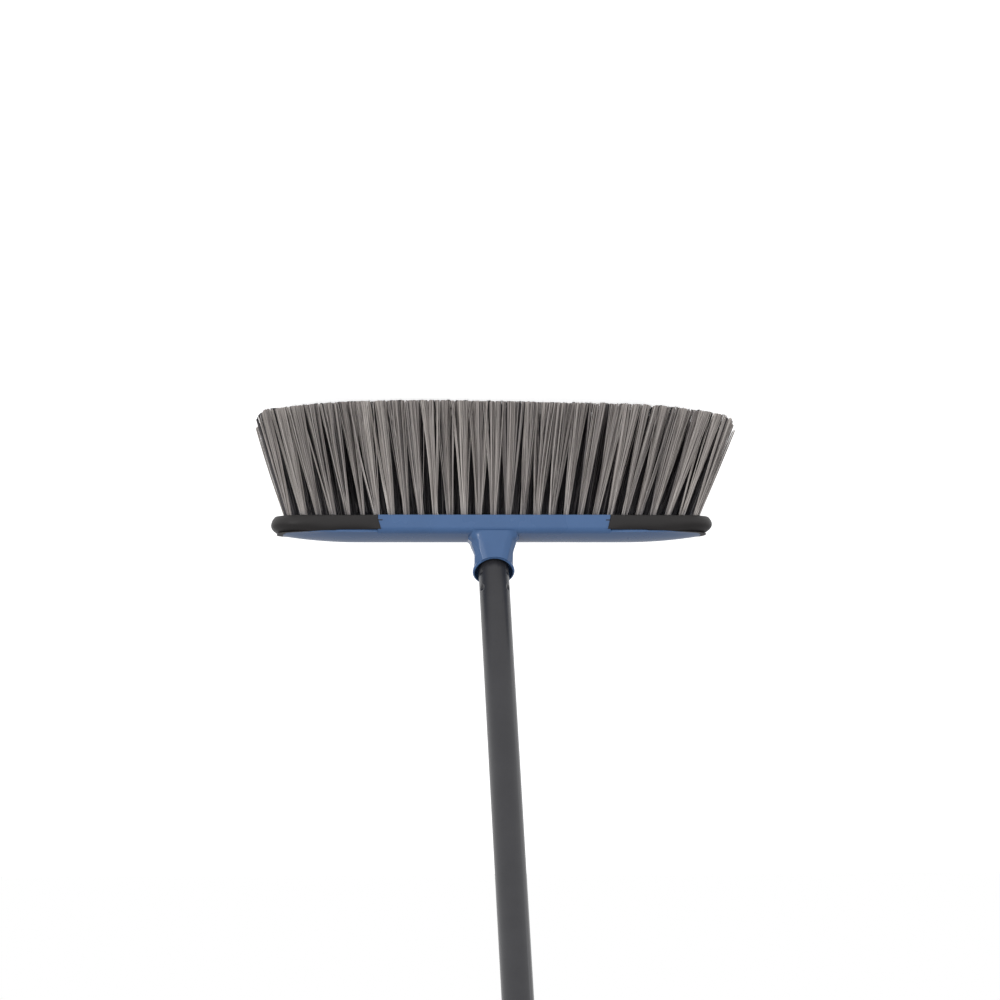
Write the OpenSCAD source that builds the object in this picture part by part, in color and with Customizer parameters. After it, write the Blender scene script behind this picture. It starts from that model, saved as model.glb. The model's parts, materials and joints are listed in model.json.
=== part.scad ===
// Household floor broom in its sweeping position: bristles down, handle leaning to the front.
// +X runs along the head, +Z is up, the handle leans towards -Y.
// The origin is the centre of the sweeping face, at the tip of the middle tuft.

/* [Head] */
// Length of the head over its bumpers
head_len = 321; // [270:1:400]
// Depth of the head over its bumpers, front to back
head_depth = 58; // [54:1:72]
// Corner radius of the head seen from above
head_corner = 22; // [16:0.5:24]
// Height of the side wall that the bumpers cover
wall_h = 12; // [10:0.5:16]
// Rise of the domed top above the side wall
dome_rise = 5.5; // [3:0.5:7]
// Radius with which the top falls towards each end
end_fall_r = 353; // [250:1:500]
// Length at each end over which the top falls
end_fall_len = 64; // [45:1:70]
// Setback of the bare wall behind the bumpers' bulge
wall_setback = 0.5; // [0:0.1:1]

/* [Bumpers] */
// Length of each bumper along the head
bumper_len = 77; // [60:1:95]
// Thickness of the soft bumper at its fullest
bumper_wall = 3; // [2.5:0.1:4]
// Bulge of the bumper's outer face
bumper_bulge = 1; // [0.4:0.1:1.4]
// How far the bumper's upper edge slopes up to meet the domed top
bumper_brow = 0.8; // [0.4:0.1:1.2]

/* [Bristles] */
// Free length of the bristles under the head
bristle_len = 85; // [60:1:110]
// Distance between tufts along a row
tuft_pitch = 10.55; // [9.5:0.05:14]
// Distance of the last tuft in a row from the end of the head
end_margin = 12.5; // [11:0.5:20]
// Distance of the outer rows from the side of the head
side_margin = 9; // [8:0.5:11]
// Diameter of the tuft holes
tuft_hole_d = 4.8; // [4:0.1:5.5]
// Depth of the tuft holes
tuft_hole_depth = 8.5; // [6:0.5:9]
// Gap between a tuft and its hole, on the radius and at the bottom
tuft_gap = 0.1; // [0.05:0.05:0.3]
// Diameter of a tuft at its tip
tuft_tip_d = 8.2; // [6:0.1:8.6]
// Lean of the last tufts in a row towards the end of the head
end_lean = 18; // [8:1:22]
// Lean of the outer rows towards the front and the back
side_lean = 12; // [6:1:15]

/* [Tuft anchors] */
// Length of the flat wire that holds a tuft, a little more than its hole
anchor_len = 5.4; // [4.4:0.1:6.4]
// Height of the flat wire
anchor_h = 2; // [1.5:0.1:3]
// Thickness of the flat wire
anchor_t = 0.45; // [0.3:0.05:0.8]
// Depth of plastic left above the wire
anchor_cover = 1.2; // [0.8:0.1:2]

/* [Neck] */
// Lean of the handle from upright
handle_lean = 33; // [28:1:36]
// Distance behind the middle of the head at which the handle's axis meets the wall's upper edge
neck_back = 2; // [0:0.5:4]
// Distance along the axis from there to the mouth of the neck
neck_len = 35; // [32:1:45]
// Width of the neck's foot where it leaves the head
neck_foot_w = 35; // [33:1:42]
// Width of the neck's flat front at its foot
neck_front_w = 28; // [22:1:30]
// Width of the neck's flat front at the mouth
neck_front_tip_w = 13; // [8:1:16]
// Diameter of the neck at its waist
neck_waist_d = 27.6; // [26.5:0.1:30]
// Diameter of the lip round the mouth
mouth_d = 30.4; // [30:0.1:34]
// Height of the lip's straight edge
lip_h = 2; // [1:0.5:4]
// Length over which the neck widens from its waist to the lip
lip_flare = 7; // [4:0.5:9]
// Diameter of the hollow inside the mouth
mouth_hollow_d = 26.4; // [25:0.1:27.5]
// Depth of that hollow
mouth_hollow_depth = 9; // [7:0.5:10]

/* [Handle] */
// Length of the steel tube
tube_len = 1200; // [600:10:1500]
// Outer diameter of the tube
tube_d = 22; // [21.5:0.1:22.6]
// Wall thickness of the tube
tube_wall = 0.6; // [0.4:0.1:1]
// Distance from the tube's end to its first ring of dimples
dimple_start = 9; // [7:0.5:12]
// Distance between the two rings of dimples
dimple_step = 14.5; // [10:0.5:18]
// Depth of a dimple
dimple_depth = 1.2; // [0.8:0.1:1.5]
// Radius of the ball that presses a dimple
dimple_ball_r = 3; // [2.5:0.1:4]

/* [Threaded joint] */
// Pitch of the coarse thread
thread_pitch = 5; // [4:0.5:5]
// Outer diameter of the male thread
thread_d = 20.4; // [19.6:0.1:20.8]
// Height of the thread
thread_h = 1.5; // [1:0.1:1.7]
// Gap between the male and the female thread, on the radius and at each flank
thread_gap = 0.3; // [0.25:0.05:0.4]
// Length of the female thread
thread_len = 20; // [16:1:20]
// Thickness of the shoulder between the tube and the thread
shoulder_h = 2.8; // [2:0.1:4]
// Gap under the shoulder with the handle screwed home
seat_gap = 0.3; // [0.2:0.1:0.5]
// Length of the insert's plug inside the tube
plug_len = 40; // [30:1:60]
// Gap between a plug and the inside of the tube
plug_gap = 0.05; // [0.02:0.01:0.1]

/* [Hanging end] */
// Length of the end plug inside the tube
end_plug_len = 30; // [20:1:50]
// Thickness of the end plug's flange
flange_h = 3; // [2:0.5:5]
// Diameter of the spigot that the hanging loop turns on
spigot_d = 8; // [6:0.5:9]
// Gap round the spigot
spigot_gap = 0.08; // [0.05:0.01:0.1]
// Gap above and below the loop's floor
loop_gap = 0.3; // [0.2:0.1:0.5]
// Diameter of the spigot's head
spigot_head_d = 11; // [10:0.5:12]
// Height of the spigot's head
spigot_head_h = 2.5; // [2:0.5:3]
// Thickness of the loop's floor
loop_floor = 5; // [4:0.5:7]
// Width of the loop
loop_w = 22; // [18:0.5:24]
// Thickness of the loop
loop_t = 9; // [6:0.5:12]
// Width of the window round the spigot's head
window_w = 13; // [12.5:0.5:14]
// Height of that window
window_h = 8; // [6:0.5:12]
// Diameter of the hanging hole
hang_hole_d = 10; // [8:0.5:12]
// Width of the bar between the window and the hanging hole
loop_bar = 5; // [4:0.5:8]

/* [Hidden] */
$fn = 64;
// Cutters reach this far past a face
over = 1;

// Levels of the head
under_z = bristle_len;
edge_z = under_z + wall_h;
top_z = edge_z + dome_rise;
// The dome is cut level along its crest, this far below its full height
dome_flat = 0.3;
dome_r = (pow(head_depth / 2, 2) + pow(dome_rise + dome_flat, 2)) / (2 * (dome_rise + dome_flat));
// Flat strips that make up the fall at each end
fall_steps = 8;

// Tuft rows, counted from -2 at the front to 2 at the back
row_pitch = (head_depth / 2 - side_margin) / 2;
row_reach = head_len / 2 - end_margin;
hole_r = tuft_hole_d / 2;

// Places along the handle's axis, counted from the wall's upper edge
mouth_s = neck_len;
floor_s = mouth_s - mouth_hollow_depth;
thread_end_s = floor_s - thread_len;
thread_zero_s = thread_end_s + thread_pitch / 2 + over;
tube_s = floor_s + seat_gap + shoulder_h;
tube_end_s = tube_s + tube_len;
loop_s = tube_end_s + flange_h + loop_gap;
window_s = loop_s + loop_floor;
hang_s = window_s + window_h + loop_bar + hang_hole_d / 2;
waist_s = mouth_s - lip_h - lip_flare;
waist_band = 6;

// Foot of the neck: its reach behind the socket and the cuts at its front and back corners
foot_back = neck_back + neck_waist_d / 2 + 3;
foot_front_cut = 4;
foot_back_cut = 7;
// Flat front of the neck: the depth of its foot, and the place, depth and height of its upper end
front_y = -head_depth / 2 + wall_setback;
front_foot_depth = head_depth / 4;
front_tip_s = mouth_s - lip_h - 3.5;
front_tip_depth = mouth_d / 4;
front_tip_h = 2;
// The flare starts a little inside the waist
flare_start_d = neck_waist_d - 1;
// Hollow of the mouth: its width at the floor, and the clear way cut in front of it
mouth_floor_d = tube_d + 2.4;
mouth_clear_h = 11;
mouth_overlap = 0.01;

// Places round and inside the tube
dimple_rings = 2;
dimples_per_ring = 3;
dimple_turn = -30;
spigot_tip_d = spigot_d - 2;
tube_bore_r = tube_d / 2 - tube_wall;
plug_r = tube_bore_r - plug_gap;

// Thread radii and widths
male_crest_r = thread_d / 2;
male_root_r = male_crest_r - thread_h;
female_groove_r = male_crest_r + thread_gap;
female_bore_r = male_root_r + thread_gap;
crest_w = 1.3;
// Ridges start this far below the surface they stand on, and widen by this share of their height
thread_sink = 0.5;
flank_slope = 0.45;
ridge_root_w = crest_w + 2 * flank_slope * (thread_h + thread_sink);
thread_steps = 24;
// Turns by which the groove runs out past the socket, and the ridge stops short of its mouth
groove_run_out = 0.25;
ridge_stop = 0.7;
socket_turns = (floor_s - thread_zero_s) / thread_pitch;

blue = "#4f74a8";
black = "#2e2c2d";
grey_beige = "#8d8883";
charcoal = "#3a383a";
tube_grey = "#57575b";
steel = "#b4b6b8";

module along_handle()
    translate([0, neck_back, edge_z]) rotate([handle_lean, 0, 0]) children();

// Outline of the head seen from above, drawn in by inset
module head_plan(inset) {
    r = head_corner - inset;
    l = head_len - 2 * inset;
    d = head_depth - 2 * inset;
    square([l - 2 * r, d], center = true);
    square([l, d - 2 * r], center = true);
    for (sx = [-1, 1], sy = [-1, 1])
        translate([sx * (l / 2 - r), sy * (d / 2 - r)]) circle(r);
}

// Side view of the top: level in the middle, falling along an arc at each end
module top_side_view() {
    level = head_len / 2 - end_fall_len;
    depth = wall_h + dome_rise;
    fall = [for (i = [0 : fall_steps])
        let (x = (end_fall_len + over) * i / fall_steps)
        [level + x, sqrt(pow(end_fall_r, 2) - pow(x, 2)) - end_fall_r]];
    left = [for (i = [0 : fall_steps]) [-fall[i][0], fall[i][1]]];
    polygon(concat(fall, [[level + end_fall_len + over, -depth - over],
                          [-level - end_fall_len - over, -depth - over]],
                   [for (i = [fall_steps : -1 : 0]) left[i]]));
}

// Head without its recesses: its plan, cut by the dome across it and the fall at its ends
module block_shell() {
    intersection() {
        translate([0, 0, under_z])
            linear_extrude(wall_h + dome_rise + 2 * over) head_plan(wall_setback);
        translate([-head_len / 2 - over, 0, top_z + dome_flat - dome_r]) rotate([0, 90, 0])
            cylinder(r = dome_r, h = head_len + 2 * over, $fn = 360);
        translate([0, head_depth / 2 + over, top_z]) rotate([90, 0, 0])
            linear_extrude(head_depth + 2 * over) top_side_view();
    }
}

// Recess all round each end that the soft bumper fills
module bumper_recess() {
    start = head_len / 2 - bumper_len;
    difference() {
        for (side = [0, 1]) mirror([side, 0, 0])
            translate([start, -head_depth / 2 - over, under_z - over])
                cube([bumper_len + over, head_depth + 2 * over, wall_h + dome_rise + 2 * over]);
        translate([0, 0, under_z - 2 * over])
            linear_extrude(wall_h + dome_rise + 4 * over) head_plan(bumper_wall);
    }
}

// Right-handed helical ridge with a trapezoid section, between two turns counted from thread_zero_s
module helix(root_r, crest_r, root_w, top_w, first_turn, last_turn) {
    first = round(first_turn * thread_steps);
    n = round(last_turn * thread_steps) - first;
    points = [for (i = [first : first + n])
        let (a = 360 * i / thread_steps, z = thread_zero_s + thread_pitch * i / thread_steps)
        each [[root_r * cos(a), root_r * sin(a), z - root_w / 2],
              [crest_r * cos(a), crest_r * sin(a), z - top_w / 2],
              [crest_r * cos(a), crest_r * sin(a), z + top_w / 2],
              [root_r * cos(a), root_r * sin(a), z + root_w / 2]]];
    sides = [for (i = [0 : n - 1], j = [0 : 3])
        let (a = 4 * i + j, b = 4 * i + (j + 1) % 4)
        each [[a, b, a + 4], [b, b + 4, a + 4]]];
    ends = [[0, 2, 1], [0, 3, 2], [4 * n, 4 * n + 1, 4 * n + 2], [4 * n, 4 * n + 2, 4 * n + 3]];
    polyhedron(points, concat(sides, ends));
}

// The neck: a hull from its wide foot to its round waist, a flat front, and an exact lip
module neck_shell() {
    hull() {
        translate([0, 0, edge_z - over]) linear_extrude(over)
            polygon([[-neck_front_w / 2, front_y], [neck_front_w / 2, front_y],
                     [neck_foot_w / 2, front_y + foot_front_cut],
                     [neck_foot_w / 2, foot_back - foot_back_cut],
                     [neck_front_w / 2, foot_back], [-neck_front_w / 2, foot_back],
                     [-neck_foot_w / 2, foot_back - foot_back_cut],
                     [-neck_foot_w / 2, front_y + foot_front_cut]]);
        along_handle() translate([0, 0, waist_s - waist_band])
            cylinder(d = neck_waist_d, h = waist_band, $fn = 32);
    }
    hull() {
        translate([-neck_front_w / 2, front_y, edge_z - over])
            cube([neck_front_w, front_foot_depth, over]);
        along_handle()
            translate([-neck_front_tip_w / 2, over - mouth_d / 2, front_tip_s])
                cube([neck_front_tip_w, front_tip_depth, front_tip_h]);
    }
    along_handle() {
        translate([0, 0, waist_s - over])
            cylinder(d1 = flare_start_d, d2 = mouth_d, h = lip_flare + over);
        translate([0, 0, mouth_s - lip_h]) cylinder(d = mouth_d, h = lip_h);
    }
}

// Hollow mouth and threaded socket inside the neck
module socket_cut() {
    along_handle() {
        translate([0, 0, floor_s])
            cylinder(d1 = mouth_floor_d, d2 = mouth_hollow_d, h = mouth_hollow_depth);
        translate([0, 0, mouth_s - mouth_overlap])
            cylinder(d = mouth_hollow_d, h = mouth_clear_h);
        translate([0, 0, thread_end_s]) cylinder(r = female_bore_r, h = thread_len + over);
        helix(female_bore_r - thread_sink, female_groove_r,
              ridge_root_w + 2 * thread_gap, crest_w + 2 * thread_gap,
              -groove_run_out, socket_turns + groove_run_out);
    }
}

// Number of steps of half a pitch from the middle to the last tuft of a row.
// Rows at even places hold a tuft in the middle, the others straddle it.
function last_place(row) =
    row % 2 == 0 ? floor(row_reach / tuft_pitch) : floor(row_reach / tuft_pitch - 0.5) + 0.5;

// Puts its child at each tuft of a row, with its own lean, at the hole's mouth
module at_tufts(row) {
    last = last_place(row);
    for (place = [-last : 1 : last])
        translate([place * tuft_pitch, row * row_pitch, under_z])
            rotate([row / 2 * side_lean, -place / last * end_lean, 0]) children();
}

module tuft_holes()
    for (row = [-2 : 2]) at_tufts(row)
        translate([0, 0, -over]) cylinder(r = hole_r, h = tuft_hole_depth + over, $fn = 32);

// Bristles folded round their anchor: straight in the hole, then fanning out to the tip
module tufts(row)
    at_tufts(row) {
        cylinder(r = hole_r - tuft_gap, h = tuft_hole_depth - tuft_gap, $fn = 32);
        translate([0, 0, -bristle_len])
            cylinder(r1 = tuft_tip_d / 2, r2 = hole_r - tuft_gap, h = bristle_len, $fn = 32);
    }

// Flat wires driven across the tufts, biting into both sides of each hole
module anchors(row)
    at_tufts(row)
        translate([-anchor_len / 2, -anchor_t / 2, tuft_hole_depth - anchor_cover - anchor_h])
            cube([anchor_len, anchor_t, anchor_h]);

module brush_block() color(blue) difference() {
    union() {
        difference() {
            block_shell();
            bumper_recess();
        }
        neck_shell();
    }
    socket_cut();
    tuft_holes();
}

// Section of the bumper from the recess outwards, its outer face an arc
module bumper_section() {
    edge = bumper_wall - bumper_bulge;
    bulge_r = (pow(wall_h / 2, 2) + pow(bumper_bulge, 2)) / (2 * bumper_bulge);
    intersection() {
        translate([bumper_wall - bulge_r, wall_h / 2]) circle(bulge_r, $fn = 180);
        square([bumper_wall, wall_h]);
    }
    polygon([[0, wall_h], [edge, wall_h], [0, wall_h + bumper_brow]]);
}

// Soft bumper round the +X end
module bumper() {
    inner_r = head_corner - bumper_wall;
    side_y = head_depth / 2 - bumper_wall;
    end_x = head_len / 2 - bumper_wall;
    corner_x = head_len / 2 - head_corner;
    corner_y = head_depth / 2 - head_corner;
    start = head_len / 2 - bumper_len;
    translate([0, 0, under_z]) {
        for (side = [0, 1]) mirror([0, side, 0]) {
            translate([start, side_y, 0]) rotate([90, 0, 90])
                linear_extrude(corner_x - start) bumper_section();
            translate([corner_x, corner_y, 0]) rotate_extrude(angle = 90)
                translate([inner_r, 0]) bumper_section();
        }
        translate([end_x, corner_y, 0]) rotate([90, 0, 0])
            linear_extrude(2 * corner_y) bumper_section();
    }
}

module left_bumper() color(black) mirror([1, 0, 0]) bumper();
module right_bumper() color(black) bumper();

module tufts_front() color(grey_beige) tufts(-2);
module tufts_front_inner() color(charcoal) tufts(-1);
module tufts_middle() color(charcoal) tufts(0);
module tufts_back_inner() color(charcoal) tufts(1);
module tufts_back() color(grey_beige) tufts(2);

module anchors_front() color(steel) anchors(-2);
module anchors_front_inner() color(steel) anchors(-1);
module anchors_middle() color(steel) anchors(0);
module anchors_back_inner() color(steel) anchors(1);
module anchors_back() color(steel) anchors(2);

// Puts its child at each dimple, at the ball's centre
module at_dimples()
    for (ring = [0 : dimple_rings - 1], place = [0 : dimples_per_ring - 1])
        translate([0, 0, tube_s + dimple_start + ring * dimple_step])
            rotate([0, 0, dimple_turn + 360 / dimples_per_ring * place])
                translate([tube_d / 2 - dimple_depth + dimple_ball_r, 0, 0]) children();

module thread_insert() color(black) along_handle() {
    difference() {
        translate([0, 0, tube_s]) cylinder(r = plug_r, h = plug_len);
        at_dimples() sphere(dimple_ball_r + tube_wall + plug_gap);
    }
    translate([0, 0, tube_s - shoulder_h]) cylinder(d = tube_d, h = shoulder_h);
    translate([0, 0, thread_end_s + thread_gap])
        cylinder(r = male_root_r, h = tube_s - shoulder_h - thread_end_s - thread_gap);
    helix(male_root_r - thread_sink, male_crest_r, ridge_root_w, crest_w, 0,
          socket_turns - ridge_stop);
}

// Steel tube with its wall pressed inwards at each dimple
module handle_tube() color(tube_grey) along_handle() difference() {
    union() {
        translate([0, 0, tube_s]) difference() {
            cylinder(d = tube_d, h = tube_len);
            translate([0, 0, -over]) cylinder(r = tube_bore_r, h = tube_len + 2 * over);
        }
        at_dimples() intersection() {
            sphere(dimple_ball_r + tube_wall);
            translate([-2 * dimple_ball_r, -2 * dimple_ball_r, -2 * dimple_ball_r])
                cube([dimple_ball_r + dimple_depth - tube_wall / 2,
                      4 * dimple_ball_r, 4 * dimple_ball_r]);
        }
    }
    at_dimples() sphere(dimple_ball_r);
}

module end_plug() color(black) along_handle() {
    translate([0, 0, tube_end_s - end_plug_len]) cylinder(r = plug_r, h = end_plug_len);
    translate([0, 0, tube_end_s]) cylinder(d = tube_d, h = flange_h);
    translate([0, 0, tube_end_s + flange_h])
        cylinder(d = spigot_d, h = loop_floor + 2 * loop_gap);
    translate([0, 0, window_s + loop_gap])
        cylinder(d1 = spigot_head_d, d2 = spigot_tip_d, h = spigot_head_h);
}

// Loop that turns on the spigot, with a round hole to hang the broom by
module hang_loop() color(black) along_handle() difference() {
    union() {
        translate([0, 0, loop_s]) cylinder(d = tube_d, h = loop_floor);
        translate([-loop_w / 2, -loop_t / 2, loop_s]) cube([loop_w, loop_t, hang_s - loop_s]);
        translate([0, loop_t / 2, hang_s]) rotate([90, 0, 0]) cylinder(d = loop_w, h = loop_t);
    }
    translate([0, 0, loop_s - over])
        cylinder(d = spigot_d + 2 * spigot_gap, h = loop_floor + 2 * over);
    translate([-window_w / 2, -loop_t, window_s]) cube([window_w, 2 * loop_t, window_h]);
    translate([0, loop_t, hang_s]) rotate([90, 0, 0]) cylinder(d = hang_hole_d, h = 2 * loop_t);
}

brush_block();
left_bumper();
right_bumper();
tufts_front();
tufts_front_inner();
tufts_middle();
tufts_back_inner();
tufts_back();
anchors_front();
anchors_front_inner();
anchors_middle();
anchors_back_inner();
anchors_back();
thread_insert();
handle_tube();
end_plug();
hang_loop();
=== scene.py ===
"""Looks of a household floor broom: a blue moulded head with soft black bumpers,
five rows of bristle tufts and a coated steel handle that screws into the head's neck."""

import json
import math

import bpy
import numpy as np
from mathutils import Matrix, Vector

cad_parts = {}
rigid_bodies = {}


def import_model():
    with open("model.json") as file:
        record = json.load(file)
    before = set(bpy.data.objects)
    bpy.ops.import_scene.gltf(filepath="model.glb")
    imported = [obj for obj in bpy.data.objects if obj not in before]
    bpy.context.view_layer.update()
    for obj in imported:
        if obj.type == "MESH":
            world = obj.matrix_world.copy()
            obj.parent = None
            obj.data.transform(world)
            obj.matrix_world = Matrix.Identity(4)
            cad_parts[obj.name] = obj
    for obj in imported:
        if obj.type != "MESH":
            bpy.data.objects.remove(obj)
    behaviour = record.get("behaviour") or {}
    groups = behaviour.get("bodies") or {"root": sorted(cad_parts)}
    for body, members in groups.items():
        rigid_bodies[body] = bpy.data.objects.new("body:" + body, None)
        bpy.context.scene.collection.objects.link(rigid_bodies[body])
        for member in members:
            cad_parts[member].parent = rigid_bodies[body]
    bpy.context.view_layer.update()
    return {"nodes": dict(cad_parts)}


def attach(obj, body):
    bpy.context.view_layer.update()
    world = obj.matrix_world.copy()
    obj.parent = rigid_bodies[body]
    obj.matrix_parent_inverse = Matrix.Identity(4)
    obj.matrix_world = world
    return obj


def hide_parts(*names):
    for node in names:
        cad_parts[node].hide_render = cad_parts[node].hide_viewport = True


MM = 0.001

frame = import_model()

# ---- sizes in millimetres, in the frame: bristle tips on Z = 0, X along the head ----
UNDER_Z = 85.0  # bristle face of the block
EDGE_Z = 97.0  # where the wall turns into the top
DOME_RISE = 5.5  # of the crowned top over its long edges
HALF_LEN = 160.5
HALF_DEPTH = 29.0
CORNER = 22.0  # radius of the head's four corners, seen from above
SETBACK = 0.5  # the blue wall stands this far behind the bumpers
END_FALL_LEN, END_FALL_R = 64.0, 353.0  # the top falls towards each end on an arc
BUMPER_LEN = 77.0
BUMPER_WALL = 3.0
BUMPER_START = HALF_LEN - BUMPER_LEN  # the bumpers' inner ends, either side of the middle
REBATE_START = BUMPER_START + 0.8  # from here on the blue wall is set back for them
REBATE_Z = 93.4  # the wall is cut here first, and the cut becomes the rebate's upper edge
REBATE_GAP = 0.3  # the bumpers sink this far into the wall
NOSE_FROM, NOSE_TO = 118, 150  # between these places the bumpers swell into a round nose
TUFT_PITCH = 10.55
ROW_PITCH = 10.0
HOLE_D = 4.8
LEAN_LEFT = 20.5  # degrees, end tufts at -X
LEAN_RIGHT = 15.0  # degrees, end tufts at +X
SIDE_LEAN = 12.0  # degrees, outer rows
ROWS = ("front", "front_inner", "middle", "back_inner", "back")
LEAN = math.radians(33)
ROOT = Vector((0, 2, 97))  # where the handle's axis starts
WAIST_D = 27.6
MOUTH_D = 30.4
WAIST_S, LIP_S, MOUTH_S = 26.0, 33.0, 35.0  # places along the handle
TUBE_S, TUBE_LEN, TUBE_D, TUBE_WALL = 29.1, 1200.0, 22.0, 0.6  # its start along the handle, and its sizes
DIMPLE_START, DIMPLE_STEP, DIMPLE_DEPTH = 9, 14.5, 1.2  # from the tube's end, and from ring to ring
BALL_R = 3  # of the punch that presses the dimples
THREAD_PITCH = 5.0
PLUG_GAP = 0.05  # round the plugs in the tube
ALONG = Matrix.Translation(ROOT * MM) @ Matrix.Rotation(LEAN, 4, "X")


# ---- small tools ----
def clear():
    """Leaves nothing selected."""
    for o in bpy.context.view_layer.objects:
        o.select_set(False)


def pick(piece):
    clear()
    piece.select_set(True)
    bpy.context.view_layer.objects.active = piece


def added(name):
    """The object that the last primitive made, under its own name."""
    piece = bpy.context.view_layer.objects.active
    piece.name = name
    return piece


def choose(piece, test):
    """Selects, in edit mode, the edges whose two ends (in mm) pass the test."""
    bpy.ops.object.mode_set(mode="OBJECT")
    mesh = piece.data
    for part in (mesh.vertices, mesh.edges, mesh.polygons):
        part.foreach_set("select", [False] * len(part))
    spots = [v.co / MM for v in mesh.vertices]
    for e in mesh.edges:
        e.select = bool(test(spots[e.vertices[0]], spots[e.vertices[1]]))
    bpy.context.scene.tool_settings.mesh_select_mode = (False, True, False)
    bpy.ops.object.mode_set(mode="EDIT")


def done():
    bpy.ops.object.mode_set(mode="OBJECT")


def cut(piece, axis, places):
    """Bisects a piece, in edit mode, at each place along an axis."""
    for place in places:
        bpy.ops.mesh.select_all(action="SELECT")
        spot, way = [0, 0, 0], [0, 0, 0]
        spot[axis], way[axis] = place * MM, 1
        bpy.ops.mesh.bisect(plane_co=spot, plane_no=way)


def reshape(piece, rule):
    """Moves every vertex by a rule from its place to its new place, in mm."""
    for v in piece.data.vertices:
        v.co = Vector(rule(v.co / MM)) * MM


def modify(piece, kind, **settings):
    """Adds a modifier and applies it."""
    pick(piece)
    made = piece.modifiers.new(kind.title(), kind)
    for key, value in settings.items():
        setattr(made, key, value)
    bpy.ops.object.modifier_apply(modifier=made.name)


def join_solid(piece, other, how="UNION"):
    """A boolean with another solid, which is then gone."""
    modify(piece, "BOOLEAN", object=other, operation=how, solver="MANIFOLD")
    bpy.data.objects.remove(other)


def settle(piece, matrix=None):
    """Puts a piece's place into its mesh, so that its object sits at the origin."""
    if matrix is not None:
        piece.data.transform(matrix)
    pick(piece)
    bpy.ops.object.transform_apply(location=True, rotation=True, scale=True)


def smooth(piece, degrees=35):
    pick(piece)
    bpy.ops.object.shade_smooth_by_angle(angle=math.radians(degrees))


def turned(name, profile, steps=72):
    """A solid turned round the Z axis from (radius, height) points in mm that start and end on the axis."""
    mesh = bpy.data.meshes.new(name)
    points = [(r * MM, 0, s * MM) for r, s in profile]
    mesh.from_pydata(points, [(i, i + 1) for i in range(len(points) - 1)], [])
    piece = bpy.data.objects.new(name, mesh)
    bpy.context.scene.collection.objects.link(piece)
    pick(piece)
    bpy.ops.object.mode_set(mode="EDIT")
    bpy.ops.mesh.select_all(action="SELECT")
    bpy.ops.mesh.spin(steps=steps, angle=2 * math.pi, center=(0, 0, 0), axis=(0, 0, 1))
    bpy.ops.mesh.select_all(action="SELECT")
    bpy.ops.mesh.remove_doubles(threshold=1e-6)
    bpy.ops.mesh.normals_make_consistent(inside=False)
    done()
    return piece


def hand_in(piece, material, body, slot, *nodes):
    """Gives a finished piece its material and body, and hides the CAD nodes that it stands for; its slot is
    not used.
    """
    piece.data.materials.clear()
    piece.data.materials.append(material)
    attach(piece, body)
    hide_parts(*nodes)


# ---- materials ----
def linear(code):
    """An sRGB hex colour as linear RGBA."""
    parts = [int(code[i : i + 2], 16) / 255 for i in (1, 3, 5)]
    return [c / 12.92 if c <= 0.04045 else ((c + 0.055) / 1.055) ** 2.4 for c in parts] + [1]


def node(tree, kind, links=(), **settings):
    """Adds a node: settings are its properties, sockets its inputs' values, links (input, output) pairs."""
    made = tree.nodes.new(kind)
    for key, value in settings.pop("sockets", {}).items():
        made.inputs[key].default_value = value
    for key, value in settings.items():
        setattr(made, key, value)
    for where, source in links:
        tree.links.new(source, made.inputs[where])
    return made


def new_material(name, **sockets):
    """A material with only the principled shader, its inputs set."""
    made = bpy.data.materials.new(name)
    made.use_nodes = True
    shader = made.node_tree.nodes["Principled BSDF"]
    for key, value in sockets.items():
        shader.inputs[key.replace("_", " ")].default_value = value
    return made, made.node_tree, shader


def moulded(name, light, dark, rough, grain_mm, depth_mm, blotch_mm=40, **sockets):
    """Moulded plastic or rubber: two close tones in soft blotches, and a fine spark-eroded grain."""
    made, tree, shader = new_material(name, **sockets)
    where = node(tree, "ShaderNodeTexCoord").outputs["Object"]
    blotch = node(tree, "ShaderNodeTexNoise", [("Vector", where)],
                  sockets={"Scale": 1 / (blotch_mm * MM), "Detail": 3.0, "Roughness": 0.6})
    tone = node(tree, "ShaderNodeValToRGB", [("Fac", blotch.outputs["Fac"])])
    tone.color_ramp.elements[0].position, tone.color_ramp.elements[1].position = 0.35, 0.65
    tone.color_ramp.elements[0].color, tone.color_ramp.elements[1].color = linear(dark), linear(light)
    tree.links.new(tone.outputs["Color"], shader.inputs["Base Color"])
    grain = node(tree, "ShaderNodeTexNoise", [("Vector", where)],
                 sockets={"Scale": 1 / (grain_mm * MM), "Detail": 2.0})
    worn = node(tree, "ShaderNodeMapRange", [("Value", blotch.outputs["Fac"])],
                sockets={"From Min": 0.3, "From Max": 0.7, "To Min": rough - 0.05, "To Max": rough + 0.05})
    tree.links.new(worn.outputs["Result"], shader.inputs["Roughness"])
    bump = node(tree, "ShaderNodeBump", [("Height", grain.outputs["Fac"])],
                sockets={"Strength": 0.35, "Distance": depth_mm * MM})
    tree.links.new(bump.outputs["Normal"], shader.inputs["Normal"])
    return made


# polypropylene, injection moulded: dusty mid blue, a satin skin with soft highlights on its edges
blue_polypropylene = moulded("blue_polypropylene", "#486690", "#44618a", 0.27, 0.9, 0.005,
                             Specular_IOR_Level=0.28)
# thermoplastic rubber, moulded over the head's ends: charcoal, dull, with a faint warm cast
charcoal_rubber = moulded("charcoal_thermoplastic_rubber", "#272525", "#222020", 0.5, 0.7, 0.03,
                          Specular_IOR_Level=0.3)
# polypropylene, injection moulded: plain black fittings of the handle
black_polypropylene = moulded("black_polypropylene", "#262628", "#1f1f21", 0.42, 0.8, 0.02)


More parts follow.
